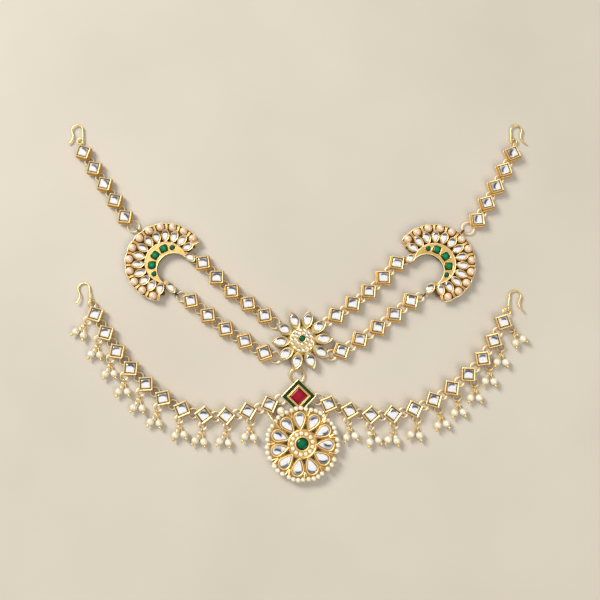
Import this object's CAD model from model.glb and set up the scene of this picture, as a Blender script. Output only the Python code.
"""A matha patti of gold links, foil-backed stones and pearls, lying on a pale floor.

Shapes are worked out in millimetres and become metres when a piece's mesh is made. Turns are in degrees,
anticlockwise from X, and the jewel's face looks up along Z.
"""

import bpy
import numpy as np
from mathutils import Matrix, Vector


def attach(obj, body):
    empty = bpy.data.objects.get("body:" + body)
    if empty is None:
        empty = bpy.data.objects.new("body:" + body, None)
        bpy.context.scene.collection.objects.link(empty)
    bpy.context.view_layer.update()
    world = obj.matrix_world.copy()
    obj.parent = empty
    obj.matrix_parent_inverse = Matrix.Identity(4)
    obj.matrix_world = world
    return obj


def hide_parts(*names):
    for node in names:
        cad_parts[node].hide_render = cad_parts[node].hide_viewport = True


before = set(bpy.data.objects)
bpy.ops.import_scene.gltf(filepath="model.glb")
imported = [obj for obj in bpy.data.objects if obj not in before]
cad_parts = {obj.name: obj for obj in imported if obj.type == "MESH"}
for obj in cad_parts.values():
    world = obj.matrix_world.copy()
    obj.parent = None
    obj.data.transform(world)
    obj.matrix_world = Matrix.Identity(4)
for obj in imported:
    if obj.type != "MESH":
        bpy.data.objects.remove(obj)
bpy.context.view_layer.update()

MM = 0.001
UP = np.array([0, 0, 1.0])
HANDS = ("left", "right")
SHARP = 38.0                          # the turn between two faces from which their edge stays sharp
RING_Z = 1.2                          # height of the wire of the rings that join the links
LOOP_RADIUS, LOOP_WIRE = 0.8, 0.56    # the loops under the links' corners
USUAL_STREAK = (90.0, 0.22)           # the turn of the streak in most stones, and its place along that turn


def polar(radius, degrees):
    """Points at a radius and an angle: (r cos a, r sin a)."""
    a = np.radians(degrees)
    return np.stack([radius * np.cos(a), radius * np.sin(a)], -1)


def angle_of(v):
    """The angle of each plan vector, in degrees."""
    return np.degrees(np.arctan2(v[..., 1], v[..., 0]))


def unit(v):
    """Each vector divided by its length."""
    return v / np.linalg.norm(v, axis=-1, keepdims=True)


# Surfaces

class Piece:
    """Collects grids of points and joins them into one mesh.

    A grid has rows and columns of points. Its columns always run round, and its rows may too. Each point has
    a patina, for worn or tarnished metal and for the sides of a stone, and marks, its place across its stone.
    """

    def __init__(self):
        self.points, self.patina, self.marks, self.corners, self.sizes = [], [], [], [], []
        self.count = 0

    def put(self, points, patina, marks):
        """Keeps points with their patina and marks."""
        self.points.append(points.reshape(-1, 3))
        self.patina.append(np.broadcast_to(patina, points.shape[:-1]).reshape(-1))
        self.marks.append(np.broadcast_to(marks, points.shape[:-1] + (2,)).reshape(-1, 2))
        self.count += points.size // 3

    def add(self, grid, ring=False, caps=False, patina=0.0, marks=(0.5, 0.5)):
        """Adds one grid, or a stack of equal ones. caps closes the first and the last row with a fan."""
        grid = np.asarray(grid, float)
        grid = grid if grid.ndim == 4 else grid[None]
        copies, rows, columns = grid.shape[:3]
        patina = np.broadcast_to(np.asarray(patina, float).reshape(-1, 1), (rows, columns))
        marks = np.broadcast_to(np.asarray(marks, float), (copies, rows, columns, 2))
        index = self.count + np.arange(copies * rows * columns).reshape(copies, rows, columns)
        beside = np.roll(index, -1, axis=2)
        last = None if ring else -1
        over, over_beside = np.roll(index, -1, axis=1), np.roll(beside, -1, axis=1)
        quads = np.stack([index, beside, over_beside, over], -1)[:, :last].reshape(-1, 4)
        self.corners.append(quads.ravel())
        self.sizes.append(np.full(len(quads), 4))
        self.put(grid, patina, marks)
        for row in (0, -1) if caps else ():
            pole = (self.count + np.arange(copies))[:, None] + np.zeros(columns, int)
            sides = (index[:, row], beside[:, row]) if row else (beside[:, row], index[:, row])
            fan = np.stack([pole, *sides], -1).reshape(-1, 3)
            self.corners.append(fan.ravel())
            self.sizes.append(np.full(len(fan), 3))
            self.put(grid[:, row].mean(axis=1), patina[row, 0], marks[:, row].mean(axis=1))

    def make(self, name, finish, replaces=(), flat=False):
        """Makes the mesh, smooth apart from its sharp edges or with flat facets, and rides it on the frame.

        The finish is a material with the name of its slot.
        """
        mesh = bpy.data.meshes.new(name)
        points = np.concatenate(self.points) * MM
        corners, sizes = np.concatenate(self.corners), np.concatenate(self.sizes)
        mesh.vertices.add(len(points))
        mesh.vertices.foreach_set("co", points.ravel())
        mesh.loops.add(len(corners))
        mesh.loops.foreach_set("vertex_index", corners)
        mesh.polygons.add(len(sizes))
        mesh.polygons.foreach_set("loop_start", np.cumsum(sizes) - sizes)
        mesh.update(calc_edges=True)
        mesh.polygons.foreach_set("use_smooth", np.full(len(sizes), not flat))
        mesh.attributes.new("patina", "FLOAT", "POINT").data.foreach_set("value", np.concatenate(self.patina))
        mesh.uv_layers.new(name="Marks").data.foreach_set("uv", np.concatenate(self.marks)[corners].ravel())
        if not flat:
            mesh.set_sharp_from_angle(angle=np.radians(SHARP))
        material, slot = finish
        mesh.materials.append(material)
        obj = bpy.data.objects.new(name, mesh)
        bpy.context.scene.collection.objects.link(obj)
        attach(obj, "root")
        if replaces:
            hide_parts(*replaces)


def placed(grid, middles, turns):
    """Copies of a grid, each turned about Z by its angle and moved to its middle."""
    middles = np.atleast_2d(np.asarray(middles, float))
    a = np.radians(np.broadcast_to(np.asarray(turns, float), len(middles)))[:, None, None]
    m = middles[:, None, None, :]
    x, y = grid[..., 0], grid[..., 1]
    return np.stack([np.cos(a) * x - np.sin(a) * y + m[..., 0],
                     np.sin(a) * x + np.cos(a) * y + m[..., 1],
                     np.broadcast_to(grid[..., 2], a.shape[:1] + x.shape)], -1)


def tube(paths, normals, radius, ring=False, sides=8):
    """A circle of the wire's radius carried along each path and square to it.

    normals are those of the planes that the paths lie in, and say where each circle begins.
    """
    paths = np.asarray(paths, float)
    paths = paths if paths.ndim == 3 else paths[None]
    along = np.roll(paths, -1, 1) - np.roll(paths, 1, 1) if ring else np.gradient(paths, axis=1)
    across = unit(np.cross(along, np.broadcast_to(np.atleast_2d(normals)[:, None, :], paths.shape)))
    up = np.cross(unit(along), across)
    phi = 2 * np.pi * np.arange(sides) / sides
    radius = np.broadcast_to(np.asarray(radius, float), paths.shape[:2])[..., None, None]
    return (paths[:, :, None] + radius * (np.cos(phi)[:, None] * across[:, :, None]
                                          + np.sin(phi)[:, None] * up[:, :, None]))


def arc(middle, radius, start, end, z, count):
    """Points of a flat arc at height z."""
    p = np.asarray(middle) + polar(radius, np.linspace(start, end, count))
    return np.c_[p, np.full(count, z)]


def oval(ends, way, up, radius):
    """The path of a drawn-out ring: half a circle, c + r (way cos t + up sin t), round each end c."""
    t = np.radians(np.r_[np.linspace(90, 270, 12), np.linspace(270, 450, 12)])[:, None]
    ends = np.c_[np.repeat(ends, 12, axis=0), np.full(24, RING_Z)]
    return ends + radius * np.cos(t) * np.append(way, 0) + radius * np.sin(t) * up


def flat_rings(piece, middles, radii, wire, z=RING_Z, segments=32, sides=8, patina=0.0):
    """Rings that lie flat: a circle of the wire's diameter carried round a circle."""
    middles = np.atleast_2d(middles)
    whole_turn = polar(1.0, 360 * np.arange(segments) / segments)
    radii = np.broadcast_to(np.asarray(radii, float), len(middles))
    paths = np.zeros((len(middles), segments, 3))
    paths[..., :2] = middles[:, None] + radii[:, None, None] * whole_turn
    paths[..., 2] = z
    piece.add(tube(paths, UP, wire / 2, True, sides), ring=True, patina=patina)


def standing_rings(piece, middles, turns, radius=LOOP_RADIUS, z=RING_Z):
    """Rings of the loops' wire, on edge along their turns: a circle carried round an upright circle."""
    segments = 20
    middles = np.atleast_2d(middles)
    turns = np.broadcast_to(np.asarray(turns, float), len(middles))
    t = 2 * np.pi * np.arange(segments) / segments
    u = polar(1.0, turns)
    paths = np.zeros((len(middles), segments, 3))
    paths[..., :2] = middles[:, None] + radius * np.cos(t)[:, None] * u[:, None]
    paths[..., 2] = z + radius * np.sin(t)
    normals = np.c_[-u[:, 1], u[:, 0], np.zeros(len(u))]
    piece.add(tube(paths, normals, LOOP_WIRE / 2, True, 7), ring=True)


def ball(radius, rows, columns):
    """A sphere by latitude and longitude, without its poles, which the caps close."""
    lat = np.radians(np.linspace(-90, 90, rows + 2)[1:-1])[:, None]
    lon = 2 * np.pi * np.arange(columns)[None] / columns
    return np.stack([radius * np.cos(lat) * np.cos(lon), radius * np.cos(lat) * np.sin(lon),
                     np.broadcast_to(radius * np.sin(lat), (rows, columns))], -1)


def pearl_shape(radius, seed):
    """A pearl: a sphere swollen by 0.012 sin(2 lon + seed) + 0.01 sin(3 height + 2 seed) of its radius."""
    grid = ball(radius, 14, 20)
    lon = np.arctan2(grid[..., 1], grid[..., 0])
    height = grid[..., 2] / radius
    return grid * (1 + 0.012 * np.sin(2 * lon + seed) + 0.01 * np.sin(3 * height + 2 * seed))[..., None]


def balls(piece, middles, heights, grid):
    """Copies of a ball or pearl at the middles and heights."""
    stack = placed(grid, middles, 0.0)
    stack[..., 2] += np.broadcast_to(np.asarray(heights, float), len(stack))[:, None, None]
    piece.add(stack, caps=True)


# Outlines: each gives the loop of points for a given growth outwards

def square(side, corner, count=6):
    """A square whose corners are quarter circles, round the points (h - r, h - r) with h half the side."""
    t = np.linspace(0, 90, count) + 90 * np.arange(4)[:, None]
    signs = np.sign(polar(1.0, 45 + 90 * np.arange(4)))[:, None]

    def loop(grow):
        r = max(corner + (1.5 if grow > 0 else 0.5) * grow, 0.12)
        return (signs * (side / 2 + grow - r) + polar(r, t)).reshape(-1, 2)
    return loop


def cut_square(side, cut):
    """A square with straight cut corners, as eight points."""
    c = 1 - 2 * cut
    loop = np.array([[1, -c], [1, c], [c, 1], [-c, 1], [-1, c], [-1, -c], [-c, -1], [c, -1]], float)
    return lambda grow: (side / 2 + grow) * loop


def circle(diameter, count=24):
    """A circle of evenly spaced points."""
    loop = polar(1.0, 360 * np.arange(count) / count)
    return lambda grow: (diameter / 2 + grow) * loop


def leaf(length, width, count=9):
    """A pointed leaf between two arcs, its length along X. Its tips grow 1.15 times as far as its sides."""
    def loop(grow):
        a, w = length / 2 + 1.15 * grow, width + 2 * grow
        r = (a * a + w * w / 4) / w
        x = a * np.cos(np.pi * np.arange(count) / count)
        y = np.sqrt(r * r - x * x) - r + w / 2
        return np.concatenate([np.c_[x, y], np.c_[-x, -y]])
    return loop


def drop(diameter, reach):
    """A round end at the origin, with sides that bulge by 0.25 sin(pi s) and meet in a point at x = -reach.

    The point grows 1.6 times as far as the sides.
    """
    s = np.array([[0.25], [0.5], [0.75], [0.92]])

    def loop(grow):
        r, tip = diameter / 2 + grow, reach + 1.6 * grow
        a = 180 - np.degrees(np.arccos(r / tip))
        round_end = polar(r, np.linspace(-a, a, 15))
        step = np.array([-tip, 0]) - round_end[-1]
        side = round_end[-1] + step * s + 0.25 * np.sin(np.pi * s) * unit(np.array([step[1], -step[0]]))
        return np.concatenate([round_end, side, [[-tip, 0]], side[::-1] * [1, -1]])
    return loop


def lofted(outline, rows):
    """An outline carried up through rows of (growth, height)."""
    return np.stack([np.c_[outline(g), np.full(len(outline(g)), z)] for g, z in rows])


# Stones and their bezels

def marked(stack, middles, half, streaks):
    """The place of each point across its stone, from 0 to 1 over the width 2 * half.

    v runs along the direction that the stone's streak lies in. Each row of streaks is that direction and the
    streak's place along it, from -0.5 to 0.5.
    """
    streaks = np.broadcast_to(np.asarray(streaks, float), (len(stack), 2))
    a = np.radians(90 - streaks[:, 0])[:, None, None]
    x, y = np.moveaxis(stack[..., :2] - np.atleast_2d(middles)[:, None, None], -1, 0)
    plan = np.stack([np.cos(a) * x - np.sin(a) * y, np.sin(a) * x + np.cos(a) * y], -1) / (2 * half)
    plan[..., 1] -= streaks[:, 1, None, None]
    return 0.5 + plan


def add_gems(piece, outline, half, sizes, middles, turns, streaks=USUAL_STREAK):
    """Copies of a stone: its outline carried up its side, then a steep and a flatter crown to its table.

    half is half its width. sizes are the heights of its base and girdle, and the crown's step in and rise.
    """
    base, girdle, bevel, rise = sizes
    rows = [(0, base), (0, girdle), (-0.4 * bevel, girdle + 0.6 * rise), (-bevel, girdle + rise)]
    stack = placed(lofted(outline, rows), middles, turns)
    piece.add(stack, caps=True, patina=[1, 1, 0.6, 0], marks=marked(stack, middles, half, streaks))


def make_gems(name, finish, replaces, *stones):
    """A piece of equal stones with flat facets."""
    piece = Piece()
    add_gems(piece, *stones)
    piece.make(name, finish, replaces, flat=True)


BEZEL_PATINA = [0.6, 0.1, 0, 0, 0.05, 0.55, 1, 1]


def add_bezels(piece, outline, wall, foot, top, middles, turns):
    """Copies of a bezel: the outline carried up its outer side, over a rounded rim and down to the stone."""
    rows = [(wall, foot), (wall + 0.02, top - 0.25), (wall * 0.9, top - 0.05), (wall * 0.6, top + 0.05),
            (wall * 0.2, top), (-0.08, top - 0.1), (-0.14, top - 0.2), (-0.14, top - 0.5)]
    piece.add(placed(lofted(outline, rows), middles, turns), patina=BEZEL_PATINA)


# Where everything lies

def evenly(route, count):
    """Points spread evenly along the smooth curve through the route's points.

    Each stretch is the cubic whose slope at a point is half the step between that point's neighbours.
    """
    p = np.array(route, float)
    p = np.vstack([2 * p[0] - p[1], p, 2 * p[-1] - p[-2]])
    a, b, c, d = (p[k:len(p) - 3 + k][:, None] for k in range(4))
    t = np.arange(12)[:, None] / 12
    q = 0.5 * (2 * b + (c - a) * t + (2 * a - 5 * b + 4 * c - d) * t ** 2 + (3 * b - a - 3 * c + d) * t ** 3)
    q = np.vstack([q.reshape(-1, 2), p[-2]])
    s = np.r_[0, np.cumsum(np.linalg.norm(np.diff(q, axis=0), axis=1))]
    at = np.linspace(0, s[-1], count)
    return np.c_[np.interp(at, s, q[:, 0]), np.interp(at, s, q[:, 1])]


def corner_reach(side):
    """How far a link's loops stand from its middle: 0.68 of half the cup's diagonal."""
    return side / np.sqrt(2) * 0.68


class Chain:
    """The links of one chain, with the loops under the two corners that lie on the chain.

    A chain whose first is 1 has no loop on the outer side of its link 0, which something else holds.
    """

    def __init__(self, name, count, start, end, side, first=1):
        self.name, self.side, self.first = name, side, first
        self.middles = evenly(ROUTES[name], count)
        whole = np.vstack([start, self.middles, end])
        self.ways = unit(whole[2:] - whole[:-2])
        self.turns = angle_of(self.ways)
        self.reach = corner_reach(side)
        self.near = self.middles - self.reach * self.ways
        self.far = self.middles + self.reach * self.ways
        self.near_turns = angle_of(self.near - np.vstack([start, self.far[:-1]]))
        self.far_turns = angle_of(np.vstack([self.near[1:], end]) - self.far)
        self.start, self.end = np.array(start, float), np.array(end, float)


FLOWER = np.array([0, 60.2])
PETAL_TURNS, PETAL_LOOPS = 3.7 + 36 * np.arange(10), 16.6
DIAMOND, DIAMOND_TURN, DIAMOND_REACH = np.array([-2.1, 27.4]), 1, 8.364
CRESCENTS = {"left": (np.array([-82.3, 107.8]), 1), "right": (np.array([80, 107.2]), -1)}


def on_crescent(hand, p):
    """A point of the left-hand crescent's own frame, mirrored for the right-hand one."""
    middle, sign = CRESCENTS[hand]
    return middle + np.asarray(p) * [sign, 1]


def crescent_turn(hand, turn):
    """A direction of the left-hand crescent's frame, mirrored for the right-hand one."""
    return turn if hand == "left" else 180 - np.asarray(turn)


def petal_loop(k):
    """The middle of the loop at the tip of petal k."""
    return FLOWER + polar(PETAL_LOOPS, PETAL_TURNS[k])


def on_diamond(p):
    """Points of the diamond's own frame, turned with it and moved to its middle."""
    a = np.radians(DIAMOND_TURN)
    turned = np.array([p[0] * np.cos(a) - p[1] * np.sin(a), p[0] * np.sin(a) + p[1] * np.cos(a)])
    return (turned.T + DIAMOND).T


# Points on the curve that the middles of each chain's links lie on, from its outer end inwards
ROUTES = {
    "upper_left": [[-135, 177.4], [-121.4, 157.4], [-107.7, 136]],
    "upper_right": [[129.8, 176.7], [118.5, 155.4], [106.5, 134.3]],
    "inner_upper_left": [[-59.7, 107.4], [-44.2, 91.7], [-22.3, 75.2]],
    "inner_upper_right": [[57, 107.2], [41.2, 91.1], [20.3, 75.3]],
    "inner_lower_left": [[-66.4, 84], [-45.5, 67.3], [-22.4, 53]],
    "inner_lower_right": [[64.8, 84.2], [44.8, 68.2], [23.2, 54.2]],
    "forehead_left": [[-122.9, 75.9], [-109, 53.7], [-91, 34.2], [-69.2, 19.6], [-44.2, 16.1], [-19, 22.8]],
    "forehead_right": [[119.1, 71.3], [105.8, 49.3], [87.1, 32.2], [64.7, 19.9], [39.6, 16.6], [15.2, 22.9]]}
CRESCENT_LUGS = {"top": polar(27.1, 131), "upper": [15.5, 2.3], "lower": [7.2, -19.6]}
INNER_PETALS = {("upper", "left"): 4, ("upper", "right"): 1, ("lower", "left"): 6, ("lower", "right"): 9}
UPPER_SIDE, INNER_SIDE, FOREHEAD_SIDE = 7.4, 7.5, 7.8

# The hooks' eyes, the lower hooks' lugs, and the loops on the pendant for the stay rings
EYES = {"left": np.array([-138, 185.4]), "right": np.array([131.6, 185.2])}
FLAT_EYE, STANDING_EYE = 1.8, 1.35
LUG_TURNS, LUG_RADIUS, LUG_Z, LUG_STEM = {"left": 112, "right": 66}, 2.2, 1.75, 3.1
LUGS = {hand: np.array(ROUTES[f"forehead_{hand}"][0]) + polar(corner_reach(FOREHEAD_SIDE) + LUG_STEM, turn)
        for hand, turn in LUG_TURNS.items()}
STAYS = {"left": polar(17.4, 145), "right": polar(17.4, 47)}

UPPER = {hand: Chain(f"upper_{hand}", 5, EYES[hand], on_crescent(hand, CRESCENT_LUGS["top"]), UPPER_SIDE)
         for hand in HANDS}
INNER = [Chain(f"inner_{row}_{hand}", 5, on_crescent(hand, CRESCENT_LUGS[row]), petal_loop(petal),
               INNER_SIDE, 0) for (row, hand), petal in INNER_PETALS.items()]
FOREHEAD = {hand: Chain(f"forehead_{hand}", 11, LUGS[hand], on_diamond((corner, 0)), FOREHEAD_SIDE)
            for hand, corner in (("left", -DIAMOND_REACH), ("right", DIAMOND_REACH))}

# How each drop lies, from the outer end inwards: turn of its ring, turn of its pearls
SWAYS = {
    "left": [[0, -20], [0, 0], [6, 8], [0, 5], [0, 0], [0, -5], [0, 8], [0, -8], [0, -10], [0, -6]],
    "right": [[0, 22], [-6, -8], [-5, -8], [0, -5], [0, 0], [6, 8], [-2, -10], [0, -8], [0, 14], [11, 12]]}
SIDE_TURNS = {"left": -90, "right": 90}
DOWN, RING_FALL, PAIR_FALL = 270, 0.2, 0.9    # straight down, and how far of the way there they turn
HOOP_RADIUS, PAIR_REACH = 2.3, 2.52


class Drops:
    """The places of one half strand's drops: each ring hangs between its link's corner and straight down."""

    def __init__(self, hand):
        chain = FOREHEAD[hand]
        corner = (chain.turns + SIDE_TURNS[hand]) % 360
        hang = chain.middles + polar(chain.reach, corner)
        self.hang, self.stay = hang[:-1], hang[-1]
        sway = np.array(SWAYS[hand], float)
        self.ring_turns = corner[:-1] + (DOWN - corner[:-1]) * RING_FALL + sway[:, 0]
        self.turns = corner[:-1] + (DOWN - corner[:-1]) * PAIR_FALL + sway[:, 1]
        self.rings = self.hang + polar(HOOP_RADIUS, self.ring_turns)
        self.pairs = self.rings + polar(PAIR_REACH, self.turns)


DROPS = {hand: Drops(hand) for hand in HANDS}


# Materials

FLOAT, COLOUR, VECTOR = "NodeSocketFloat", "NodeSocketColor", "NodeSocketVector"


def fill(tree, n, sockets):
    """Sets each socket, by its name or number, to a value, or joins it to another node's socket."""
    for key, value in sockets.items():
        if isinstance(value, bpy.types.NodeSocket):
            tree.links.new(value, n.inputs[key])
        else:
            n.inputs[key].default_value = value


def node(tree, kind, sockets, **settings):
    """A node with its settings and its sockets."""
    n = tree.nodes.new(kind)
    for key, value in settings.items():
        setattr(n, key, value)
    fill(tree, n, sockets)
    return n


def maths(tree, operation, a, b=0.0, clamp=False):
    """One sum on two values."""
    return node(tree, "ShaderNodeMath", {0: a, 1: b}, operation=operation, use_clamp=clamp).outputs[0]


def blended(tree, factor, a, b):
    """Two colours mixed by a factor."""
    return node(tree, "ShaderNodeMix", {0: factor, 6: a, 7: b}, data_type="RGBA").outputs[2]


def spread(tree, value, low, high, to_low=0.0, to_high=1.0):
    """A value stretched from one range to another, and held within it."""
    return node(tree, "ShaderNodeMapRange", {0: value, 1: low, 2: high, 3: to_low, 4: to_high}).outputs[0]


def place_of(tree):
    """The point's place, in metres."""
    return node(tree, "ShaderNodeTexCoord", {}).outputs["Object"]


def noise(tree, scale, detail, output="Fac"):
    """Noise with so many lumps to a metre."""
    return node(tree, "ShaderNodeTexNoise",
                {"Vector": place_of(tree), "Scale": scale, "Detail": detail}).outputs[output]


def relief(tree, strength, distance, height):
    """The normal of a surface raised by the height, which is given in shares of the distance in metres."""
    return node(tree, "ShaderNodeBump",
                {"Strength": strength, "Distance": distance, "Height": height}).outputs[0]


def patina_of(tree):
    """The patina that the mesh carries."""
    return node(tree, "ShaderNodeAttribute", {}, attribute_name="patina").outputs["Fac"]


def group(name, inputs, outputs):
    """An empty shader group, as (tree, what is put in, output node)."""
    tree = bpy.data.node_groups.new(name, "ShaderNodeTree")
    for way, sockets in (("INPUT", inputs), ("OUTPUT", outputs)):
        for label, kind in sockets.items():
            tree.interface.new_socket(label, in_out=way, socket_type=kind)
    return tree, tree.nodes.new("NodeGroupInput").outputs, tree.nodes.new("NodeGroupOutput")


def cast_metal_group():
    """Cast and polished metal: broad tone between two colours, fine roughness and a shallow grain."""
    tree, given, out = group("cast_metal", {"Low": COLOUR, "High": COLOUR, "Roughness": FLOAT},
                             {"Color": COLOUR, "Roughness": FLOAT, "Normal": VECTOR})
    tone = spread(tree, noise(tree, 260.0, 2.0), 0.3, 0.7)
    fine = noise(tree, 1900.0, 3.0)
    fill(tree, out, {
        "Color": blended(tree, tone, given["Low"], given["High"]),
        "Roughness": maths(tree, "ADD", spread(tree, fine, 0.25, 0.75, -0.08, 0.08), given["Roughness"]),
        "Normal": relief(tree, 0.12, 0.00005, fine)})
    return tree


def foil_group():
    """The foil under a stone: the dark streak that it mirrors, the grey beyond that streak, and its crumple.

    Across the stone run u and v, with v counted from the streak's own place. The streak begins sharply where
    v = c - 0.8 u^2 and fades beyond. A slow noise shifts it and changes its strength from stone to stone.
    """
    tree, given, out = group("foil", {"Crumple": FLOAT}, {
        "Streak": FLOAT, "Shade": FLOAT, "Centre": FLOAT, "Tone": FLOAT, "Normal": VECTOR})
    uv = node(tree, "ShaderNodeUVMap", {}, uv_map="Marks").outputs[0]
    flat = node(tree, "ShaderNodeVectorMath", {0: uv, 1: (0.5, 0.5, 0.0)}, operation="SUBTRACT").outputs[0]
    u, v = node(tree, "ShaderNodeSeparateXYZ", {0: flat}).outputs[:2]
    own = node(tree, "ShaderNodeSeparateColor", {"Color": noise(tree, 140.0, 0.0, "Color")}).outputs
    crumple = noise(tree, 620.0, 2.0)
    shift = spread(tree, own[0], 0.35, 0.65, -0.1, 0.1)
    strength = spread(tree, own[2], 0.38, 0.56, 0.78, 1.0)
    bow = maths(tree, "MULTIPLY", maths(tree, "MULTIPLY", u, u), -0.8)
    middle = maths(tree, "ADD", spread(tree, own[1], 0.35, 0.65, -0.06, 0.06),
                   maths(tree, "MULTIPLY", crumple, 0.05))
    past = maths(tree, "SUBTRACT", v, maths(tree, "ADD", bow, middle))
    aside = maths(tree, "ABSOLUTE", maths(tree, "SUBTRACT", u, shift))

    def band(begin, full, gone, rest, wide):
        """A band that begins short of the line, stays full past it, and fades to a rest and to its sides."""
        depth = maths(tree, "MINIMUM", spread(tree, past, -begin, 0.0),
                      spread(tree, past, full, gone, 1.0, rest))
        across = maths(tree, "MULTIPLY", spread(tree, aside, 0.26, wide, 1.0, 0.0), depth)
        return maths(tree, "MULTIPLY", across, strength)

    reach = node(tree, "ShaderNodeVectorMath", {0: flat}, operation="LENGTH").outputs["Value"]
    fill(tree, out, {
        "Streak": band(0.06, 0.06, 0.26, 0.0, 0.42),
        "Shade": band(0.14, 0.14, 0.55, 0.25, 0.52),
        "Centre": spread(tree, reach, 0.05, 0.44, 1.0, 0.0),
        "Tone": spread(tree, crumple, 0.3, 0.7),
        "Normal": relief(tree, given["Crumple"], 0.0002, crumple)})
    return tree


def nacre_group():
    """Pearl skin: a slow change of tint from pearl to pearl, clouds of its shade, and a faint ripple."""
    tree, given, out = group("nacre", {"Pale": COLOUR, "Warm": COLOUR, "Shade": COLOUR},
                             {"Color": COLOUR, "Normal": VECTOR})
    tint = spread(tree, noise(tree, 150.0, 1.0), 0.35, 0.65)
    cloud = noise(tree, 620.0, 2.0)
    body = blended(tree, tint, given["Pale"], given["Warm"])
    clouds = maths(tree, "MULTIPLY", spread(tree, cloud, 0.3, 0.7), 0.25)
    fill(tree, out, {"Color": blended(tree, clouds, body, given["Shade"]),
                     "Normal": relief(tree, 0.1, 0.0001, cloud)})
    return tree


CAST, FOIL, NACRE = cast_metal_group(), foil_group(), nacre_group()


def new_material(name):
    """A new material, as (material, tree, its Principled shader)."""
    m = bpy.data.materials.new(name)
    m.use_nodes = True
    return m, m.node_tree, m.node_tree.nodes["Principled BSDF"]


def use(tree, shared, sockets):
    """What a shared group puts out with this material's own values."""
    return node(tree, "ShaderNodeGroup", sockets, node_tree=shared).outputs


RUBBED, WALL, TARNISH = (0.99, 0.82, 0.46, 1), (0.60, 0.30, 0.045, 1), (0.085, 0.045, 0.012, 1)


def gold_material(name, low, high, rough, seat=None):
    """Polished yellow gold, paler and redder in places.

    A patina of -0.5 is a rubbed edge, 0 the plain metal, 0.5 a deeper wall and 1 a seat brown with tarnish.
    With a seat, as (low, high, amount) with its heights in metres, that much of the tarnish also fills what
    lies below those heights.
    """
    m, tree, skin = new_material(name)
    cast = use(tree, CAST, {"Low": low, "High": high, "Roughness": rough})
    dirt = patina_of(tree)
    if seat:
        bottom, top, amount = seat
        height = node(tree, "ShaderNodeSeparateXYZ", {0: place_of(tree)}).outputs[2]
        dirt = maths(tree, "MAXIMUM", dirt, spread(tree, height, bottom, top, amount, 0.0))
    colour = blended(tree, spread(tree, dirt, -0.5, 0.0, 1.0, 0.0), cast["Color"], RUBBED)
    colour = blended(tree, spread(tree, dirt, 0.0, 0.5), colour, WALL)
    colour = blended(tree, spread(tree, dirt, 0.45, 1.0), colour, TARNISH)
    wear = maths(tree, "MULTIPLY", maths(tree, "ABSOLUTE", dirt), 0.25)
    fill(tree, skin, {"Base Color": colour, "Roughness": maths(tree, "ADD", cast["Roughness"], wear),
                      "Normal": cast["Normal"], "Metallic": 1.0})
    return m, "gold"


def edge_mask(tree):
    """1 on a stone's sloping sides and 0 on its table."""
    return spread(tree, patina_of(tree), 0.05, 0.45)


def clear_stone_material():
    """Clear cut glass over silver foil: a white table with a dark streak, and sides that mirror the gold."""
    m, tree, skin = new_material("clear_stone")
    foil = use(tree, FOIL, {"Crumple": 0.25})
    table = blended(tree, foil["Tone"], (0.74, 0.75, 0.77, 1), (0.86, 0.86, 0.86, 1))
    side = blended(tree, foil["Tone"], (0.40, 0.36, 0.22, 1), (0.74, 0.68, 0.50, 1))
    colour = blended(tree, edge_mask(tree), table, side)
    colour = blended(tree, foil["Shade"], colour, (0.30, 0.295, 0.335, 1))
    colour = blended(tree, foil["Streak"], colour, (0.035, 0.032, 0.04, 1))
    fill(tree, skin, {"Base Color": colour, "Normal": foil["Normal"], "Metallic": 0.1, "Roughness": 0.12,
                      "Coat Weight": 0.6, "Coat Roughness": 0.03})
    return m, "clear_stone"


def coloured_stone_material(name, slot, deep, bright):
    """Coloured cut glass over foil: darkest on its sides, and brighter where the foil catches light."""
    m, tree, skin = new_material(name)
    foil = use(tree, FOIL, {"Crumple": 0.25})
    glow = maths(tree, "MULTIPLY", foil["Centre"], spread(tree, foil["Tone"], 0.0, 1.0, 0.6, 1.0))
    sides = maths(tree, "MULTIPLY", edge_mask(tree), 0.6)
    colour = blended(tree, sides, blended(tree, glow, deep, bright), tuple(0.4 * c for c in deep[:3]) + (1,))
    fill(tree, skin, {"Base Color": colour, "Normal": foil["Normal"], "Roughness": 0.22,
                      "Specular IOR Level": 0.25})
    return m, slot


def pearl_material(name, pale, warm, shade):
    """Nacre: a pale body with a warmer tint, shaded where it turns away, under a soft gloss."""
    m, tree, skin = new_material(name)
    nacre = use(tree, NACRE, {"Pale": pale, "Warm": warm, "Shade": shade})
    away = maths(tree, "MULTIPLY", node(tree, "ShaderNodeFresnel", {"IOR": 1.34}).outputs[0], 2.3, True)
    fill(tree, skin, {"Base Color": blended(tree, away, nacre["Color"], shade), "Normal": nacre["Normal"],
                      "Roughness": 0.3, "Coat Weight": 1.0, "Coat IOR": 2.0, "Coat Roughness": 0.28})
    return m, "pearl"


def enamel_material():
    """Dark green glass enamel with a slight unevenness in its melt."""
    m, tree, skin = new_material("green_enamel")
    melt = noise(tree, 420.0, 2.0)
    colour = blended(tree, spread(tree, melt, 0.3, 0.7), (0.004, 0.024, 0.004, 1), (0.009, 0.046, 0.008, 1))
    fill(tree, skin, {"Base Color": colour, "Normal": relief(tree, 0.2, 0.0001, melt), "Roughness": 0.3,
                      "Specular IOR Level": 0.3})
    return m, "enamel"


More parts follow.
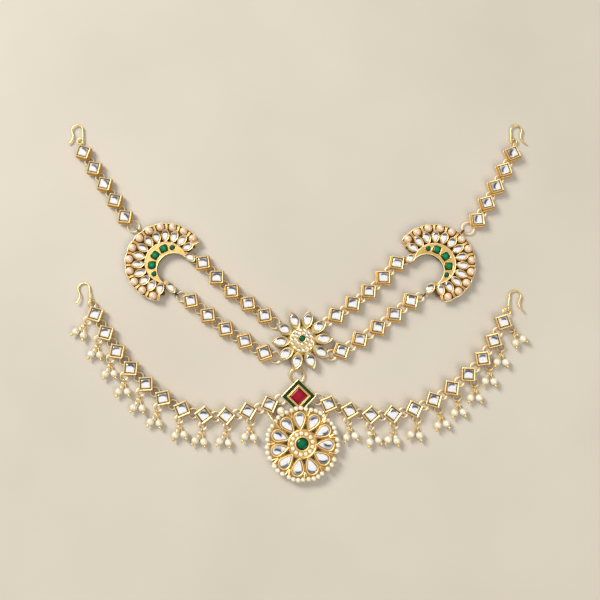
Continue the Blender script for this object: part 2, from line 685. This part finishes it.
GOLD = gold_material("polished_gold", (0.93, 0.59, 0.16, 1), (1.0, 0.73, 0.29, 1), 0.36)
WIRE = gold_material("bright_gold", (0.96, 0.66, 0.24, 1), (1.0, 0.79, 0.38, 1), 0.42)
PIERCED = gold_material("pierced_gold", (0.93, 0.60, 0.17, 1), (1.0, 0.74, 0.30, 1), 0.36,
                        (0.0031, 0.0040, 0.9))
PLATE = gold_material("plate_gold", (0.93, 0.60, 0.17, 1), (1.0, 0.74, 0.30, 1), 0.36,
                      (0.0026, 0.0036, 0.65))
LEMON = gold_material("lemon_gold", (0.88, 0.64, 0.22, 1), (0.97, 0.79, 0.40, 1), 0.4,
                      (0.0026, 0.0036, 0.8))
PALE = gold_material("pale_gold", (0.84, 0.60, 0.20, 1), (0.94, 0.75, 0.35, 1), 0.44)
CLEAR = clear_stone_material()
GREEN = coloured_stone_material("green_stone", "green_stone", (0.0, 0.045, 0.016, 1), (0.005, 0.34, 0.11, 1))
DEEP_GREEN = coloured_stone_material("deep_green_stone", "green_stone", (0.0, 0.06, 0.022, 1),
                                     (0.0, 0.17, 0.062, 1))
RED = coloured_stone_material("red_stone", "red_stone", (0.21, 0.002, 0.01, 1), (0.42, 0.008, 0.03, 1))
PEARL = pearl_material("cream_pearl", (0.95, 0.91, 0.75, 1), (0.93, 0.83, 0.60, 1), (0.48, 0.37, 0.10, 1))
PEACH = pearl_material("peach_pearl", (0.93, 0.76, 0.54, 1), (0.89, 0.63, 0.42, 1), (0.44, 0.22, 0.06, 1))
ENAMEL = enamel_material()


# Links

# A cup's profile from its foot over the rim into the seat, as (share of half its side, height), its patina
# and the radius of its corners
DEEP_ROWS = [(0.54, 0.0), (0.54, 1.7), (0.70, 1.8), (1.14, 1.82), (1.19, 1.9), (1.2, 2.1), (1.18, 2.3),
             (1.1, 2.42), (1.09, 2.6), (1.06, 3.4), (1.02, 4.2), (1.0, 4.6), (0.985, 4.8), (0.95, 4.9),
             (0.91, 4.87), (0.86, 4.74), (0.81, 4.6), (0.79, 4.5), (0.765, 4.35), (0.76, 4.1), (0.76, 3.2)]
DEEP_PATINA = [0.7, 0.7, 0.6, 0.3, 0.1, 0.0, 0.2, 0.6, 0.42, 0.35, 0.28, 0.05, -0.4, -0.5, -0.4, 0,
               0.4, 0.8, 1, 1, 1]
FLAT_ROWS = [(0.54, 0.0), (0.54, 1.75), (0.70, 1.8), (1.04, 1.84), (1.09, 1.95), (1.09, 2.2), (1.06, 3.2),
             (1.015, 4.3), (1.0, 4.62), (0.985, 4.82), (0.95, 4.9), (0.91, 4.87), (0.85, 4.74), (0.79, 4.6),
             (0.765, 4.5), (0.74, 4.35), (0.735, 4.1), (0.735, 3.2)]
FLAT_PATINA = [0.7, 0.7, 0.6, 0.4, 0.32, 0.3, 0.28, 0.2, 0.02, -0.4, -0.5, -0.4, 0, 0.4, 0.8, 1, 1, 1]
DEEP_CORNER, FLAT_CORNER = 0.5, 0.35
LINK_STONE, JUMP_WIRE = 5.45, 0.75
UPPER_STREAKS = {"left": (50.0, 0.18), "right": (160.0, 0.16)}


def start_cups(chain, rows, patina, corner):
    """A chain's cups, each the profile carried round a square with arcs for corners, and their loops."""
    cups = Piece()
    cup = lofted(square(chain.side, corner), [((share - 1) * chain.side / 2, z) for share, z in rows])
    cups.add(placed(cup, chain.middles, chain.turns + 45), caps=True, patina=patina)
    standing_rings(cups, chain.near[chain.first:], chain.near_turns[chain.first:])
    standing_rings(cups, chain.far, chain.far_turns)
    return cups


def finish_chain(chain, cups, streaks=USUAL_STREAK):
    """Makes a chain's cups, its stones, and its jump rings, each a flat ring through two loops."""
    cups.make(chain.name + "_cups", GOLD, [chain.name + "_settings"])
    make_gems(chain.name + "_foiled_stones", CLEAR, [chain.name + "_stones"],
              cut_square(LINK_STONE, 0.07), LINK_STONE / 2, (3.4, 4.35, 0.6, 0.5), chain.middles,
              chain.turns + 45, streaks)
    outer = [] if chain.first else [(chain.start, chain.near[0])]
    p, q = np.moveaxis([*zip(chain.far[:-1], chain.near[1:]), *outer, (chain.far[-1], chain.end)], 1, 0)
    rings = Piece()
    flat_rings(rings, (p + q) / 2, np.linalg.norm(q - p, axis=1) / 2, JUMP_WIRE, patina=-0.5)
    rings.make(chain.name + "_jump_rings", WIRE, [chain.name + "_rings"])


for hand, chain in UPPER.items():
    cups = start_cups(chain, DEEP_ROWS, DEEP_PATINA, DEEP_CORNER)
    way = unit(chain.start - chain.middles[0])
    ends = [chain.middles[0] + way * chain.reach, chain.start - way * FLAT_EYE]
    cups.add(tube(oval(ends, way, UP, 0.9), (-way[1], way[0], 0), 0.28, True), ring=True)
    finish_chain(chain, cups, UPPER_STREAKS[hand])

for chain in INNER:
    finish_chain(chain, start_cups(chain, DEEP_ROWS, DEEP_PATINA, DEEP_CORNER))

for hand, chain in FOREHEAD.items():
    drops, lug = DROPS[hand], LUGS[hand]
    cups = start_cups(chain, FLAT_ROWS, FLAT_PATINA, FLAT_CORNER)
    standing_rings(cups, drops.hang, drops.ring_turns)
    standing_rings(cups, drops.stay, angle_of(STAYS[hand] - drops.stay))
    flat_rings(cups, lug, LUG_RADIUS, 0.8, z=LUG_Z)
    way = polar(1.0, LUG_TURNS[hand])
    stem = np.linspace(chain.middles[0] + way * 2.0, lug - way * LUG_RADIUS, 6)
    cups.add(tube(np.c_[stem, np.full(6, LUG_Z)], UP, 0.4), caps=True)
    finish_chain(chain, cups)


# Hooks

CROOK, TAIL = 3.4, 5.4    # radii of the crook and of the turned-out tail
BEND = 204                # how far the crook turns
HOOK_WIRE = 0.5
LUG_HOLD = 2.35           # from a lug's middle to that of the eye that stands in it


def hook_paths(eye, standing, limb):
    """The hook's wire in its own frame: the closed eye, and the limb, the crook and the turned-out tail.

    The eye is a circle, the limb a straight line beside or above it, and the crook and the tail are two arcs
    that bend opposite ways.
    """
    t = 2 * np.pi * np.arange(24) / 24
    eye_path = np.c_[eye * np.cos(t), eye * np.sin(t), np.zeros(24)]
    x, foot = eye, 0.0
    if standing:
        eye_path, x, foot = eye_path[:, [2, 0, 1]], 0.0, eye
    rise = np.c_[np.full(6, x), np.linspace(foot, limb, 6)][:-1]
    middle = np.array([x - CROOK, limb])
    crook = middle + polar(CROOK, np.linspace(0, BEND, 22))
    tail = middle + polar(CROOK + TAIL, BEND) + polar(TAIL, np.linspace(BEND - 180, -60, 14))
    wire = np.vstack([rise, crook, tail[1:]])
    return eye_path, np.c_[wire, np.zeros(len(wire))]


def make_hook(name, middle, turn, mirrored, standing):
    """A bent wire hook with a ball at the end of its tail. One with a standing eye leans down from it."""
    eye, limb, lean, z = (STANDING_EYE, 8.4, 6.6, 1.87) if standing else (FLAT_EYE, 7.4, 0.0, RING_Z)
    eye_path, wire = hook_paths(eye, standing, limb)
    foot = eye if standing else 0.0
    tilt = np.radians(-lean)
    y = wire[:, 1] - foot
    wire = np.c_[wire[:, 0], foot + y * np.cos(tilt), y * np.sin(tilt)]
    flip = [-1 if mirrored else 1, 1, 1]
    a = np.radians(turn)
    turned = np.array([[np.cos(a), np.sin(a), 0], [-np.sin(a), np.cos(a), 0], [0, 0, 1]])
    eye_path, wire = ((path * flip) @ turned + [middle[0], middle[1], z] for path in (eye_path, wire))
    wire_normal = (np.array([0, -np.sin(tilt), np.cos(tilt)]) * flip) @ turned
    eye_normal = (np.array([1.0, 0, 0]) if standing else UP) @ turned
    piece = Piece()
    piece.add(tube(eye_path, eye_normal, HOOK_WIRE, True, 10), ring=True)
    piece.add(tube(wire, wire_normal, HOOK_WIRE, False, 10), caps=True)
    balls(piece, wire[-1, :2], wire[-1, 2], ball(0.55, 8, 12))
    piece.make(name + "_wire", PALE, [name])


make_hook("hook_upper_left", EYES["left"], 4, False, False)
make_hook("hook_upper_right", EYES["right"], -2, True, False)
for hand, turn in (("left", 10), ("right", -10)):
    make_hook(f"hook_lower_{hand}", LUGS[hand] + polar(LUG_HOLD, LUG_TURNS[hand]), turn,
              hand == "right", True)


# Drops

PAIR_RADIUS, PAIR_Z = 1.15, 1.45           # the ring that holds a pair of pearls
SPLAY = 17                                 # how far each pearl is turned to its side
PIN, PIN_EYE, COIL = 0.25, 0.75, 0.4       # a pin's wire, the eye at its end and the coil above its pearl
DROP_PEARL, PIN_HEAD = 2.2, 0.9
ODD_PEARLS = ((38.9, 6.0), (54.0, 3.7))    # two small pearls that lie over the right-hand drops


def make_drops(hand, drops):
    """One half strand's drops: each a hoop, a ring and two pearls on pins that spread to the sides."""
    hoops, pearls, pins = Piece(), Piece(), Piece()
    flat_rings(hoops, drops.rings, HOOP_RADIUS, 0.6, patina=-0.3)
    standing_rings(pins, drops.pairs, drops.turns, PAIR_RADIUS, PAIR_Z)

    def hung(grid, **closed):
        """Adds a part of the pins to every pair."""
        pins.add(placed(grid, drops.pairs, drops.turns), **closed)

    def spots(point):
        """A point of the pair's own frame in every pair."""
        p = placed(point[None, None], drops.pairs, drops.turns)[:, 0, 0]
        return p[:, :2], p[:, 2]

    for side in (-1, 1):
        eye = np.array([1.9, side * 0.525, PAIR_Z])
        far = np.array([PAIR_RADIUS, 0]) + polar(5.6, side * SPLAY)
        pearl = np.array([far[0], far[1] + side * 0.9, DROP_PEARL])
        way = unit(pearl - eye)
        loop = eye + PIN_EYE * np.c_[polar(1, 360 * np.arange(16) / 16), np.zeros(16)]
        hung(tube(loop, UP, PIN, True, 7)[0], ring=True)
        pin = eye + way * np.linspace(PIN_EYE, 5.1, 8)[:, None]
        hung(tube(pin, UP, PIN, False, 7)[0], caps=True)
        across = unit(np.cross(way, UP))
        up = np.cross(across, way)
        t = np.linspace(0, 3 * 2 * np.pi, 40)[:, None]
        coil = eye + way * np.linspace(0.95, 1.75, 40)[:, None] + COIL * (np.cos(t) * across + np.sin(t) * up)
        hung(tube(coil, way, 0.16, False, 6)[0], caps=True)
        balls(pins, *spots(pearl + way * 2.9), ball(PIN_HEAD, 10, 14))
        for k, (middle, z) in enumerate(zip(*spots(pearl))):
            balls(pearls, middle, z, pearl_shape(DROP_PEARL, 2.1 * k + side))
    if hand == "right":
        for middle in ODD_PEARLS:
            balls(pearls, middle, 3.1, pearl_shape(1.45, middle[0]))
    hoops.make("drop_hoops_" + hand, PALE, ["drop_rings_" + hand])
    pearls.make("drop_pearls_" + hand, PEARL, ["pearl_drops_" + hand])
    pins.make("drop_pins_" + hand, PALE)


for hand, drops in DROPS.items():
    make_drops(hand, drops)


# Crescents, each in the left-hand one's own frame

BAND_INNER, BAND_OUTER = np.array([1.6, -1.1]), np.array([0.4, -0.4])
EMERALD_TURNS = np.array([84, 112, 147, 181, 211])
EMERALD_MIDDLES = np.array([2.9, -1.9]) + polar(10.8, EMERALD_TURNS)
SQUARE_ONES, ROUND_ONES = slice(1, 4), [0, 4]
LEAF_TURNS, LEAF_ROW = np.linspace(35, 261, 13), 24.2 * 0.68
LEAF_LENGTH, HORN_LENGTH, LEAF_WIDTH = 7.4, 6.5, 4.1
PEARL_TURNS, PEARL_ROW, PEARL_RADIUS, PEARL_Z = np.linspace(42, 252, 12), 21.8, 2.46, 1.8 + 4.8 * 0.42
BAR_TURNS = np.r_[PEARL_TURNS[0] - 9.5, (PEARL_TURNS[1:] + PEARL_TURNS[:-1]) / 2, PEARL_TURNS[-1] + 9.5]


def crescent_band(hand):
    """The raised band's outer part: a profile stretched between two circles, from 24 to 259 degrees round."""
    share = np.array([0, 0, 0.5, 0.92, 1, 1, 0.5])[:, None]
    height = np.array([3.6, 4.04, 4.06, 4.1, 3.95, 3.0, 3.0])
    a = np.linspace(24, 259, 70)
    low = (BAND_INNER + polar(11.6, a))[:, None]
    plan = on_crescent(hand, low + share * ((BAND_OUTER + polar(12.5, a))[:, None] - low))
    grid = np.concatenate([plan, np.broadcast_to(height[:, None], plan.shape[:1] + (7, 1))], -1)
    return grid[:, ::CRESCENTS[hand][1]]


def rim_wires():
    """The wires along the band's two edges and round the pearls, as (path, radius).

    The last one is a circle whose radius swells by 0.22 at each pearl.
    """
    a = np.linspace(36, 258, 150)
    swell = 0.22 * np.cos(2 * np.pi * (a - PEARL_TURNS[0]) / np.diff(PEARL_TURNS)[0])
    return ((arc(BAND_OUTER, 12.45, 22, 260, 4.12, 60), 0.28),
            (arc((5.1, -4.6), 10.15, 35, 235, 4.02, 60), 0.28),
            (np.c_[polar(24.15 + swell, a), np.full(150, 3.3)], 0.32))


def make_crescent(hand):
    """One crescent's bezels, bars and wires, its pointed stones, its pearls and its green stones."""
    points = np.vstack([polar(LEAF_ROW, LEAF_TURNS), [[3.7, -15.7]]])
    leaves = ((LEAF_LENGTH, on_crescent(hand, points), crescent_turn(hand, np.r_[LEAF_TURNS, -52])),
              (HORN_LENGTH, on_crescent(hand, [14.9, 2.8]), crescent_turn(hand, -38)))
    emeralds = on_crescent(hand, EMERALD_MIDDLES)
    squares = emeralds[SQUARE_ONES], crescent_turn(hand, EMERALD_TURNS[SQUARE_ONES])
    metal, stones, pearls = Piece(), Piece(), Piece()
    for length, middles, turns in leaves:
        add_bezels(metal, leaf(length, LEAF_WIDTH), 0.45, 2.9, 4.32, middles, turns)
        add_gems(stones, leaf(length, LEAF_WIDTH, 7), 2.6, (3.5, 4.08, 0.8, 0.62), middles, turns)
    for shift in (-0.42, 0.42):
        run = np.linspace([-1.9, shift * 0.8], [2.1, shift], 8)
        run = np.c_[run, 4.0 - 0.35 * (np.linspace(-1, 1, 8) ** 4)]
        metal.add(placed(tube(run, UP, 0.33)[0], on_crescent(hand, polar(PEARL_ROW, BAR_TURNS)),
                         crescent_turn(hand, BAR_TURNS)), caps=True, patina=0.22)
    for path, wire in rim_wires():
        path = np.c_[on_crescent(hand, path[:, :2]), path[:, 2]]
        metal.add(tube(path, UP, wire), caps=True, patina=-0.5)
    metal.add(crescent_band(hand), caps=True, patina=0.1)
    add_bezels(metal, square(4.9, 1.2, 4), 0.3, 3.9, 4.2, *squares)
    add_bezels(metal, circle(3.4), 0.3, 3.9, 4.2, emeralds[ROUND_ONES], 0.0)
    for k, middle in enumerate(on_crescent(hand, polar(PEARL_ROW, PEARL_TURNS))):
        balls(pearls, middle, PEARL_Z, pearl_shape(PEARL_RADIUS, 1.7 * k + CRESCENTS[hand][1]))
    metal.make(f"crescent_{hand}_bezels", WIRE)
    stones.make(f"crescent_{hand}_leaf_stones", CLEAR, flat=True)
    pearls.make(f"crescent_{hand}_pearls", PEACH)
    make_gems(f"crescent_{hand}_green_stones", GREEN, [f"crescent_{hand}_emeralds"],
              square(4.7, 1.3, 4), 2.6, (2.92, 4.05, 0.8, 0.6), *squares, (135.0, 0.06))
    make_gems(f"crescent_{hand}_round_stones", DEEP_GREEN, (), circle(3.14, 10), 2.0,
              (2.92, 4.05, 0.6, 0.55), emeralds[ROUND_ONES], 0.0, (135.0, 0.12))


for hand in HANDS:
    make_crescent(hand)


# Flower

# From its middle to the disc's wire, to the two rows of small stones, and to the petals' rims and stones
DISC_WIRE, OUTER_SEEDS, INNER_SEEDS, PETAL_RIMS, PETAL_STONES = 7.1, 6.0, 3.55, 12.4, 12.9


def make_flower():
    """The flower's petal rims and wires, its stones, and the ring that the pendant hangs from."""
    green = FLOWER + [0, 1]
    seeds = np.vstack([FLOWER + polar(OUTER_SEEDS, 98 + 360 / 14 * np.arange(14)),
                       green + polar(INNER_SEEDS, 72 + 40 * np.arange(9)) * [1, 0.96]])
    petal_rim = [(0.02, 2.6), (0.03, 4.3), (-0.04, 4.6), (-0.18, 4.74), (-0.36, 4.7), (-0.52, 4.6),
                 (-0.62, 4.52), (-0.64, 4.2)]
    metal = Piece()
    petals = lofted(leaf(11.6, 6.3, 12), petal_rim)
    metal.add(placed(petals, FLOWER + polar(PETAL_RIMS, PETAL_TURNS), PETAL_TURNS),
              patina=[0.5, 0.15, 0, 0, 0, 0.5, 1, 1])
    flat_rings(metal, FLOWER, DISC_WIRE, 0.45, z=4.85, segments=60)
    flat_rings(metal, seeds, 1.14, 0.4, z=4.96, segments=16, sides=6, patina=-0.4)
    add_bezels(metal, circle(3.94), 0.35, 4.7, 5.3, green, 0.0)
    metal.make("flower_rims", LEMON)
    make_gems("flower_foiled_stones", CLEAR, ["flower_petal_stones"],
              leaf(7.8, 5.1, 8), 3.0, (3.4, 4.42, 0.75, 0.55), FLOWER + polar(PETAL_STONES, PETAL_TURNS),
              PETAL_TURNS)
    make_gems("flower_seed_stones", CLEAR, (),
              circle(2.1, 8), 1.05, (4.85, 5.12, 0.45, 0.3), seeds, 0.0, (60.0, 0.3))
    make_gems("flower_green_stone", DEEP_GREEN, ["flower_centre_stone"],
              circle(3.63, 10), 2.2, (4.05, 5.1, 0.75, 0.55), green, 0.0, (135.0, 0.1))
    carrier = Piece()
    petal, diamond = petal_loop(7), on_diamond((0, DIAMOND_REACH))
    flat_rings(carrier, (petal + diamond) / 2, np.linalg.norm(petal - diamond) / 2, 0.9,
               segments=64, sides=12)
    carrier.make("carrier_hoop", GOLD, ["carrier_ring"])


make_flower()


# Pendant, its middle at the origin

MIDDLE = np.zeros(2)
DROP_TURNS, DROP_ROW, DROP_STONE = 96 + 360 / 11 * np.arange(11), 19 - 2.8 - 1.2, drop(5.6, 6.0)
# The streak in each drop stone: the direction that it lies in from the middle, and its place along it
DROP_STREAKS = [[90, 0.16], [65, 0.12], [68, 0.12], [90, 0.0], [300, 0.2], [270, 0.24], [275, 0.2],
                [278, 0.24], [270, 0.04], [288, 0.18], [118, 0.18]]
DROP_RIM = [(1.02, 3.0), (1.02, 3.9), (0.95, 4.16), (0.78, 4.34), (0.55, 4.36), (0.34, 4.26), (0.16, 4.18),
            (0.04, 4.12), (0.0, 3.8)]
DIAMOND_ROWS = [(1.02, 3.3), (1.02, 3.72), (0.96, 3.86), (0.84, 3.9), (0.7, 3.84), (0.64, 3.72), (0.52, 3.72),
                (0.42, 3.86), (0.28, 3.92), (0.12, 3.86), (0.03, 3.72), (0.02, 3.4)]
SEED_ROW, EDGE_ROW = 6.05, 20.6
EDGE_COUNTS = [4, 4, 4, 3, 3, 4, 4, 3, 3, 4, 4]
STRAND_ENDS = {"left": np.array([-21.3, 19.8]), "right": np.array([17.0, 20.6])}


def make_pendant():
    """The pendant's rims and wires, and its stones."""
    seeds = polar(SEED_ROW, 12 + 360 / 13 * np.arange(13))
    metal = Piece()
    metal.add(placed(lofted(DROP_STONE, DROP_RIM), polar(DROP_ROW, DROP_TURNS), DROP_TURNS),
              patina=[0.8, 0.5, 0.1, -0.2, -0.3, 0, 0.7, 1, 1])
    flat_rings(metal, MIDDLE, 7.95, 0.6, z=4.4, segments=72)
    add_bezels(metal, circle(7.34, 40), 0.7, 4.2, 4.85, MIDDLE, 0.0)
    flat_rings(metal, seeds, 1.16, 0.36, z=4.62, segments=18, sides=6, patina=-0.4)
    flat_rings(metal, seeds, 1.42, 0.3, z=4.42, segments=18, sides=6, patina=0.6)
    for side in (-1, 1):
        run = np.linspace([16.2, side * 0.25], [20.3, side * 1.15], 8)
        run = np.c_[run, 3.9 + 0.45 * np.sin(np.linspace(0, 2.6, 8))]
        pin = tube(run, UP, np.linspace(0.42, 0.32, 8))[0]
        metal.add(placed(pin, np.zeros((11, 2)), DROP_TURNS + 180 / 11), caps=True)
    metal.add(placed(lofted(cut_square(7.64, 0.02), DIAMOND_ROWS), DIAMOND, 45 + DIAMOND_TURN),
              patina=[0.4, 0, 0, 0, 0.1, 0.45, 0.45, 0.1, 0, 0.1, 0.7, 1])
    border = 9.95 * np.array([[-0.3, -0.7], [-1, 0], [0, 1], [1, 0], [0.3, -0.7]])
    border = on_diamond(np.concatenate([np.linspace(a, b, 12) for a, b in zip(border, border[1:])]).T).T
    metal.add(tube(np.c_[border, np.full(len(border), 3.66)], UP, 0.28), caps=True, patina=-0.3)
    metal.make("pendant_rims", WIRE)
    make_gems("pendant_foiled_stones", CLEAR, ["pendant_drop_stones"],
              DROP_STONE, 2.8, (3.12, 4.12, 0.55, 0.6), polar(DROP_ROW, DROP_TURNS), DROP_TURNS,
              DROP_STREAKS)
    make_gems("pendant_seed_stones", PEARL, (),
              circle(2.15, 8), 1.08, (4.4, 4.82, 0.5, 0.3), seeds, 0.0)
    make_gems("pendant_green_stone", DEEP_GREEN, ["pendant_centre_stone"],
              circle(7.03, 14), 3.8, (3.22, 4.6, 1.2, 0.85), MIDDLE, 0.0, (135.0, 0.1))


def make_pendant_pearls():
    """The seed pearls round the pendant, three or four to a drop stone, and the larger one at its left."""
    pearls = Piece()
    for turn, count in zip(DROP_TURNS, EDGE_COUNTS):
        step, size = (7.9, 1.44) if count == 4 else (9.0, 1.5)
        steps = (np.arange(count) - (count - 1) / 2) * step
        for k, middle in enumerate(polar(EDGE_ROW - 0.3 * (steps / 10) ** 2, turn + steps)):
            balls(pearls, middle, 3.85, pearl_shape(size, k + turn))
    balls(pearls, (-12.4, 18.9), 3.9, pearl_shape(2.4, 1.0))
    pearls.make("pendant_seed_pearls", PEARL, ["pearl_edge"])


def make_stays():
    """The long stay rings, and the straight wires that lie over the edge pearls beside them.

    Each wire's height is 4 - 2.6 s^2 + 2.4 sin(pi s^0.75), with s from 0 to 1 along it.
    """
    stays, radius = Piece(), 1.1
    for hand, stay in STAYS.items():
        loop = DROPS[hand].stay
        way = unit(stay - loop)
        across = (-way[1], way[0], 0)
        ends = [loop + radius * way, stay - radius * way]
        stays.add(tube(oval(ends, way, np.array(across), radius), UP, 0.3, True), ring=True)
        s = np.linspace(0, 1, 24)
        strand = np.c_[evenly([stay * 0.88, stay * 1.02, STRAND_ENDS[hand]], 24),
                       4.0 - 2.6 * s ** 2 + 2.4 * np.sin(np.pi * s ** 0.75)]
        stays.add(tube(strand, across, 0.45), caps=True)
    stays.make("stay_hoops", WIRE, ["stay_rings"])


make_pendant()
make_pendant_pearls()
make_stays()
RUBY_SIDE = 5.4 * np.sqrt(2)
make_gems("diamond_red_stone", RED, ["ruby"], cut_square(RUBY_SIDE, 0.03), RUBY_SIDE / 2,
          (2.82, 3.6, 0.9, 0.7), DIAMOND, 45 + DIAMOND_TURN, (135.0, 0.08))

for name, finish in (("crescent_left", PIERCED), ("crescent_right", PIERCED), ("flower_setting", LEMON),
                     ("pendant_setting", PLATE), ("enamel_border", ENAMEL)):
    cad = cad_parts[name]
    cad.data.materials.clear()
    cad.data.materials.append(finish[0])


# Floor, light and camera

def pale_floor():
    """A plain pale floor of smooth stone, just under the jewel."""
    bpy.ops.mesh.primitive_plane_add(size=4, location=(0, 0.08, -0.00002))
    floor = bpy.context.object
    floor.name = "floor"
    m, tree, skin = new_material("pale_floor")
    cloud = spread(tree, noise(tree, 9.0, 3.0), 0.3, 0.7)
    fill(tree, skin, {"Base Color": blended(tree, cloud, (0.545, 0.50, 0.415, 1), (0.595, 0.55, 0.462, 1)),
                      "Roughness": 0.7})
    floor.data.materials.append(m)


def soft_box(name, place, size, power, colour):
    """A square lamp that faces the jewel's middle."""
    data = bpy.data.lights.new(name, "AREA")
    data.shape, data.size, data.energy, data.color = "SQUARE", size, power, colour
    lamp = bpy.data.objects.new(name, data)
    lamp.location = place
    lamp.rotation_mode = "QUATERNION"
    lamp.rotation_quaternion = (Vector((0, 0.08, 0)) - Vector(place)).to_track_quat("-Z", "Y")
    bpy.context.scene.collection.objects.link(lamp)


def studio_world():
    """A bright ceiling that fades towards a dim horizon."""
    world = bpy.data.worlds.new("studio")
    bpy.context.scene.world = world
    world.use_nodes = True
    tree = world.node_tree
    way = node(tree, "ShaderNodeTexCoord", {}).outputs["Generated"]
    height = node(tree, "ShaderNodeSeparateXYZ", {0: way}).outputs[2]
    sky = blended(tree, spread(tree, height, 0.15, 0.95), (0.32, 0.28, 0.23, 1), (0.95, 0.96, 1.0, 1))
    fill(tree, tree.nodes["Background"], {"Color": sky, "Strength": 0.6})


pale_floor()
studio_world()
soft_box("key", (-1.25, 1.15, 1.35), 0.8, 43.0, (1.0, 0.98, 0.95))
soft_box("fill", (0.8, -0.9, 1.3), 0.9, 12.0, (1.0, 0.92, 0.84))

camera_data = bpy.data.cameras.new("camera")
camera_data.lens = 50
camera_data.sensor_width = 36
camera = bpy.data.objects.new("camera", camera_data)
camera.location = (-0.00137, -0.01019, 0.4908)
camera.rotation_mode = "QUATERNION"
camera.rotation_quaternion = (Vector((-0.00137, 0.08522, 0)) - camera.location).to_track_quat("-Z", "Y")
bpy.context.scene.collection.objects.link(camera)
bpy.context.scene.camera = camera
bpy.context.scene.view_settings.view_transform = "Standard"
